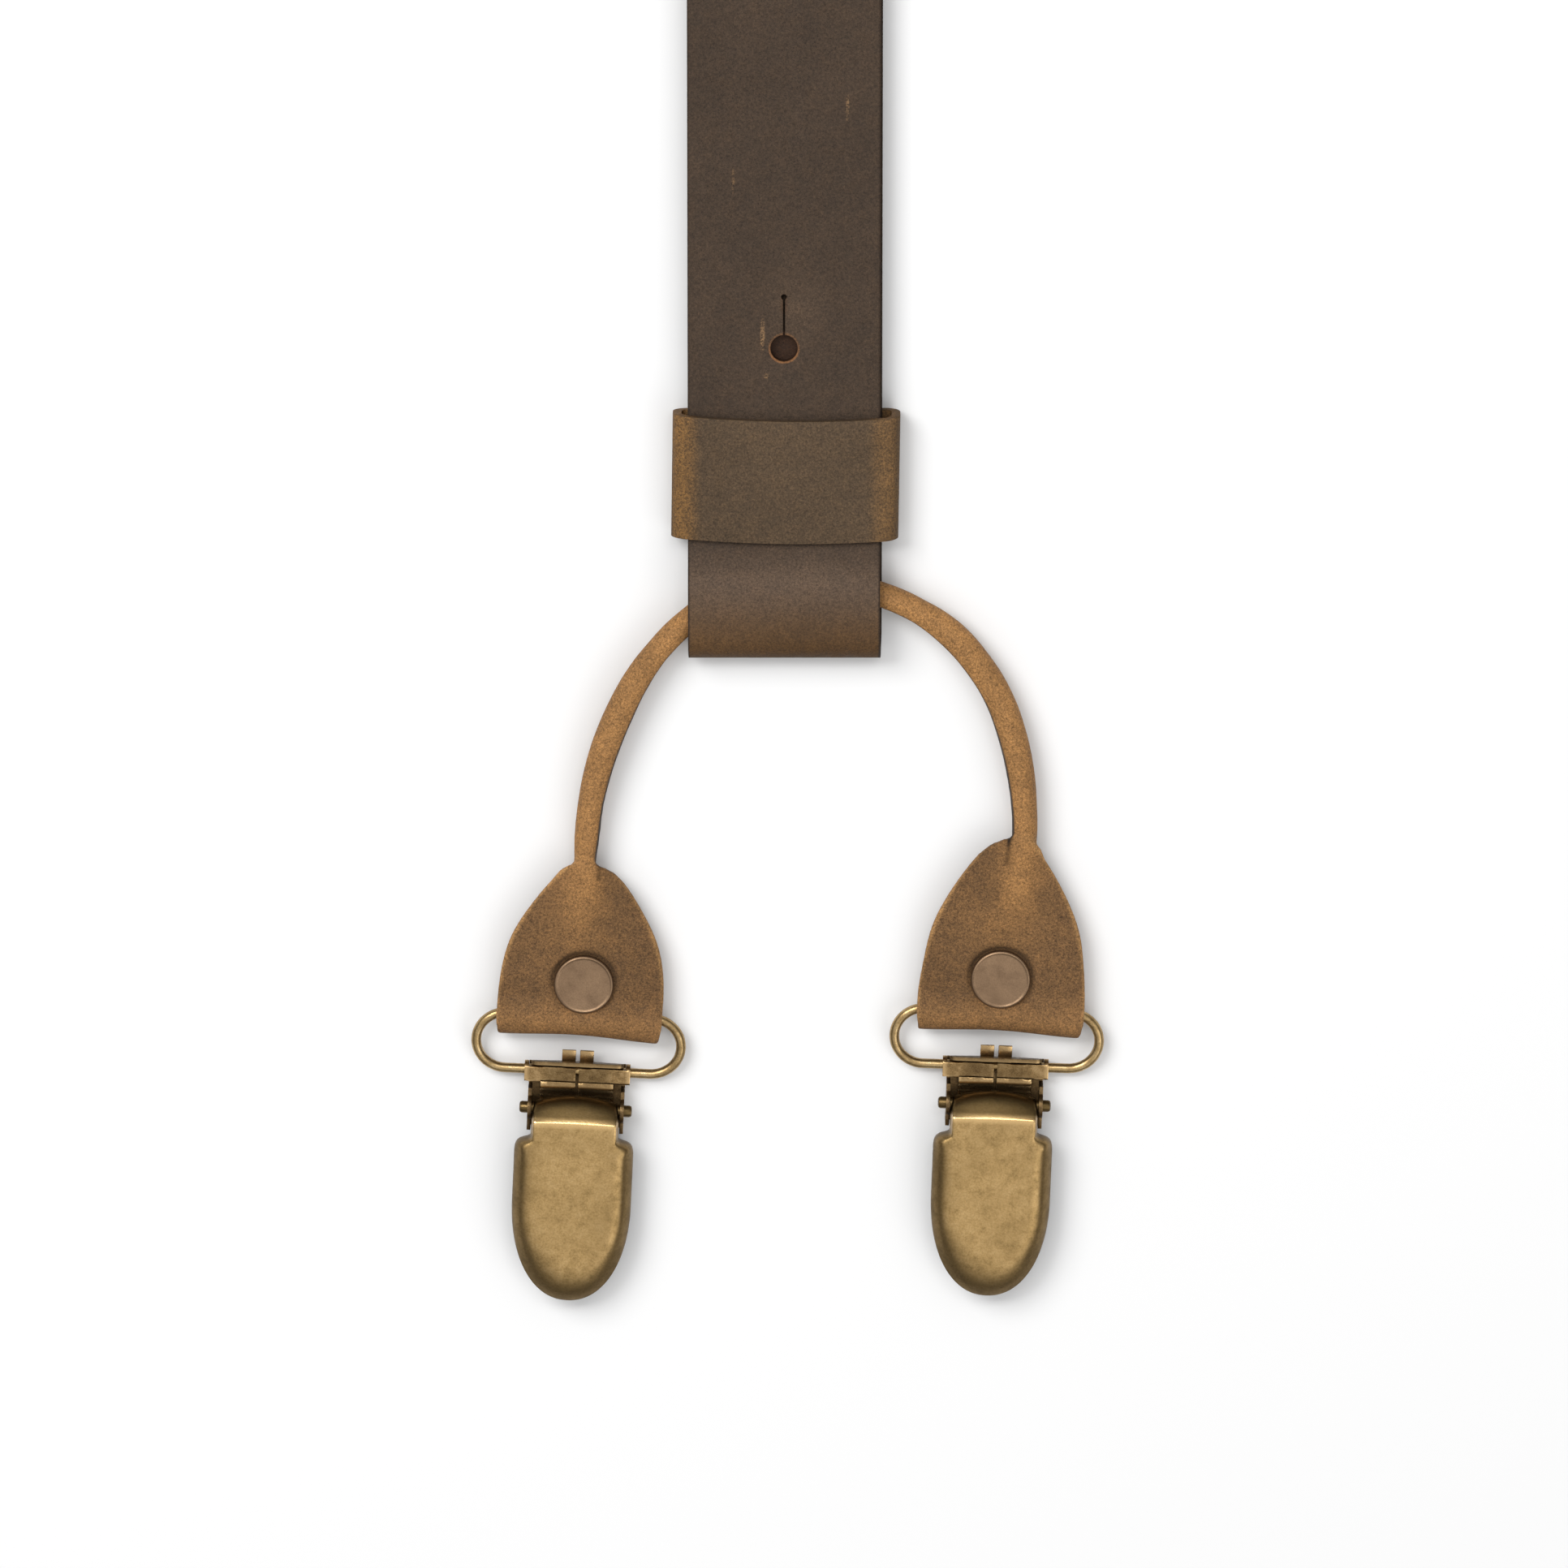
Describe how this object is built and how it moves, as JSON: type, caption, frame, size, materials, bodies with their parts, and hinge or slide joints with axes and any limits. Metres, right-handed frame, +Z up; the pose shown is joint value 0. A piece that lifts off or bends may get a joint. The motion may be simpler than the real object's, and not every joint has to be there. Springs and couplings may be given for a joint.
{
  "type": "suspenders",
  "caption": "Leather suspenders with a Y back, laid flat: straps fold round rolled leather yokes whose riveted tabs hang flap-lever clips from wire loops.",
  "frame": {"origin": "centre of the junction, on the surface the suspenders lie on", "axes": "+Y along the suspenders from the back clips to the front clips, +Z up out of the outer face"},
  "size_m": [0.5158, 1.155, 0.0135],
  "materials": {
    "strap_leather": "waxed dark brown",
    "keeper_leather": "waxed dark brown",
    "yoke_leather": "waxed tan brown",
    "patch_leather": "waxed dark brown",
    "rivet_brass": "antique copper brown",
    "stud_brass": "antique brass",
    "wire_brass": "antique brass wire",
    "clip_brass": "antique brass, mottled",
    "shield_brass": "antique brass, mottled, dark at the edges",
    "grip_plastic": "matte black"
  },
  "bodies": {
    "straps": {"junction_patch": "patch_leather", "junction_lining": "strap_leather", "junction_rivet_caps": "rivet_brass", "junction_rivet_posts": "rivet_brass", "back_strap": "strap_leather", "back_stud": "stud_brass", "back_stud_screw": "stud_brass", "left_strap": "strap_leather", "left_stud": "stud_brass", "left_stud_screw": "stud_brass", "right_strap": "strap_leather", "right_stud": "stud_brass", "right_stud_screw": "stud_brass"},
    "back_keeper": {"back_keeper": "keeper_leather"},
    "back_yoke": {"back_yoke": "yoke_leather", "back_rivet_caps": "rivet_brass", "back_rivet_posts": "rivet_brass"},
    "back_clip1_loop": {"back_clip1_loop": "wire_brass"},
    "back_clip1_frame": {"back_clip1_back_plate": "clip_brass", "back_clip1_retainer": "clip_brass"},
    "back_clip1_lever": {"back_clip1_shield": "shield_brass", "back_clip1_pad": "grip_plastic"},
    "back_clip2_loop": {"back_clip2_loop": "wire_brass"},
    "back_clip2_frame": {"back_clip2_back_plate": "clip_brass", "back_clip2_retainer": "clip_brass"},
    "back_clip2_lever": {"back_clip2_shield": "shield_brass", "back_clip2_pad": "grip_plastic"},
    "left_keeper": {"left_keeper": "keeper_leather"},
    "left_yoke": {"left_yoke": "yoke_leather", "left_rivet_caps": "rivet_brass", "left_rivet_posts": "rivet_brass"},
    "left_clip1_loop": {"left_clip1_loop": "wire_brass"},
    "left_clip1_frame": {"left_clip1_back_plate": "clip_brass", "left_clip1_retainer": "clip_brass"},
    "left_clip1_lever": {"left_clip1_shield": "shield_brass", "left_clip1_pad": "grip_plastic"},
    "left_clip2_loop": {"left_clip2_loop": "wire_brass"},
    "left_clip2_frame": {"left_clip2_back_plate": "clip_brass", "left_clip2_retainer": "clip_brass"},
    "left_clip2_lever": {"left_clip2_shield": "shield_brass", "left_clip2_pad": "grip_plastic"},
    "right_keeper": {"right_keeper": "keeper_leather"},
    "right_yoke": {"right_yoke": "yoke_leather", "right_rivet_caps": "rivet_brass", "right_rivet_posts": "rivet_brass"},
    "right_clip1_loop": {"right_clip1_loop": "wire_brass"},
    "right_clip1_frame": {"right_clip1_back_plate": "clip_brass", "right_clip1_retainer": "clip_brass"},
    "right_clip1_lever": {"right_clip1_shield": "shield_brass", "right_clip1_pad": "grip_plastic"},
    "right_clip2_loop": {"right_clip2_loop": "wire_brass"},
    "right_clip2_frame": {"right_clip2_back_plate": "clip_brass", "right_clip2_retainer": "clip_brass"},
    "right_clip2_lever": {"right_clip2_shield": "shield_brass", "right_clip2_pad": "grip_plastic"}
  },
  "joints": [
    {"name": "back_keeper_slide", "type": "slide", "parent": "straps", "child": "back_keeper", "axis": [0, 1, 0], "range_m": [0, 0.08]},
    {"name": "back_yoke_swing", "type": "hinge", "parent": "straps", "child": "back_yoke", "pos_m": [0.0035, -0.257, 0.0047], "axis": [0, 0, 1], "range_deg": [-8, 8]},
    {"name": "back_clip1_loop_swing", "type": "hinge", "parent": "back_yoke", "child": "back_clip1_loop", "pos_m": [-0.03763, -0.29837, 0.0034], "axis": [-0.9989, 0.0471, 0], "range_deg": [-45, 45]},
    {"name": "back_clip1_swing", "type": "hinge", "parent": "back_clip1_loop", "child": "back_clip1_frame", "pos_m": [-0.03814, -0.30929, 0.0022], "axis": [-0.9989, 0.0471, 0], "range_deg": [-60, 35]},
    {"name": "back_clip1_lever_open", "type": "hinge", "parent": "back_clip1_frame", "child": "back_clip1_lever", "pos_m": [-0.03845, -0.31588, 0.0049], "axis": [-0.9989, 0.0471, 0], "range_deg": [0, 90]},
    {"name": "back_clip2_loop_swing", "type": "hinge", "parent": "back_yoke", "child": "back_clip2_loop", "pos_m": [0.03944, -0.29743, 0.0034], "axis": [-0.9993, 0.0366, 0], "range_deg": [-45, 45]},
    {"name": "back_clip2_swing", "type": "hinge", "parent": "back_clip2_loop", "child": "back_clip2_frame", "pos_m": [0.03904, -0.30836, 0.0022], "axis": [-0.9993, 0.0366, 0], "range_deg": [-60, 35]},
    {"name": "back_clip2_lever_open", "type": "hinge", "parent": "back_clip2_frame", "child": "back_clip2_lever", "pos_m": [0.03879, -0.31495, 0.0049], "axis": [-0.9993, 0.0366, 0], "range_deg": [0, 90]},
    {"name": "left_keeper_slide", "type": "slide", "parent": "straps", "child": "left_keeper", "axis": [0.2588, -0.9659, 0], "range_m": [0, 0.08]},
    {"name": "left_yoke_swing", "type": "hinge", "parent": "straps", "child": "left_yoke", "pos_m": [-0.19154, 0.70132, 0.0047], "axis": [0, 0, 1], "range_deg": [-8, 8]},
    {"name": "left_clip1_loop_swing", "type": "hinge", "parent": "left_yoke", "child": "left_clip1_loop", "pos_m": [-0.16253, 0.75192, 0.0034], "axis": [0.977, 0.213, 0], "range_deg": [-45, 45]},
    {"name": "left_clip1_swing", "type": "hinge", "parent": "left_clip1_loop", "child": "left_clip1_frame", "pos_m": [-0.16485, 0.76261, 0.0022], "axis": [0.977, 0.213, 0], "range_deg": [-60, 35]},
    {"name": "left_clip1_lever_open", "type": "hinge", "parent": "left_clip1_frame", "child": "left_clip1_lever", "pos_m": [-0.16626, 0.76906, 0.0049], "axis": [0.977, 0.213, 0], "range_deg": [0, 90]},
    {"name": "left_clip2_loop_swing", "type": "hinge", "parent": "left_yoke", "child": "left_clip2_loop", "pos_m": [-0.23672, 0.73108, 0.0034], "axis": [0.9748, 0.2233, 0], "range_deg": [-45, 45]},
    {"name": "left_clip2_swing", "type": "hinge", "parent": "left_clip2_loop", "child": "left_clip2_frame", "pos_m": [-0.23916, 0.74173, 0.0022], "axis": [0.9748, 0.2233, 0], "range_deg": [-60, 35]},
    {"name": "left_clip2_lever_open", "type": "hinge", "parent": "left_clip2_frame", "child": "left_clip2_lever", "pos_m": [-0.24063, 0.74817, 0.0049], "axis": [0.9748, 0.2233, 0], "range_deg": [0, 90]},
    {"name": "right_keeper_slide", "type": "slide", "parent": "straps", "child": "right_keeper", "axis": [-0.2588, -0.9659, 0], "range_m": [0, 0.08]},
    {"name": "right_yoke_swing", "type": "hinge", "parent": "straps", "child": "right_yoke", "pos_m": [0.18478, 0.70313, 0.0047], "axis": [0, 0, 1], "range_deg": [-8, 8]},
    {"name": "right_clip1_loop_swing", "type": "hinge", "parent": "right_yoke", "child": "right_clip1_loop", "pos_m": [0.23521, 0.73245, 0.0034], "axis": [0.9527, -0.304, 0], "range_deg": [-45, 45]},
    {"name": "right_clip1_swing", "type": "hinge", "parent": "right_clip1_loop", "child": "right_clip1_frame", "pos_m": [0.23854, 0.74286, 0.0022], "axis": [0.9527, -0.304, 0], "range_deg": [-60, 35]},
    {"name": "right_clip1_lever_open", "type": "hinge", "parent": "right_clip1_frame", "child": "right_clip1_lever", "pos_m": [0.24054, 0.74915, 0.0049], "axis": [0.9527, -0.304, 0], "range_deg": [0, 90]},
    {"name": "right_clip2_loop_swing", "type": "hinge", "parent": "right_yoke", "child": "right_clip2_loop", "pos_m": [0.16053, 0.75149, 0.0034], "axis": [0.9558, -0.294, 0], "range_deg": [-45, 45]},
    {"name": "right_clip2_swing", "type": "hinge", "parent": "right_clip2_loop", "child": "right_clip2_frame", "pos_m": [0.16375, 0.76194, 0.0022], "axis": [0.9558, -0.294, 0], "range_deg": [-60, 35]},
    {"name": "right_clip2_lever_open", "type": "hinge", "parent": "right_clip2_frame", "child": "right_clip2_lever", "pos_m": [0.16569, 0.76825, 0.0049], "axis": [0.9558, -0.294, 0], "range_deg": [0, 90]}
  ]
}
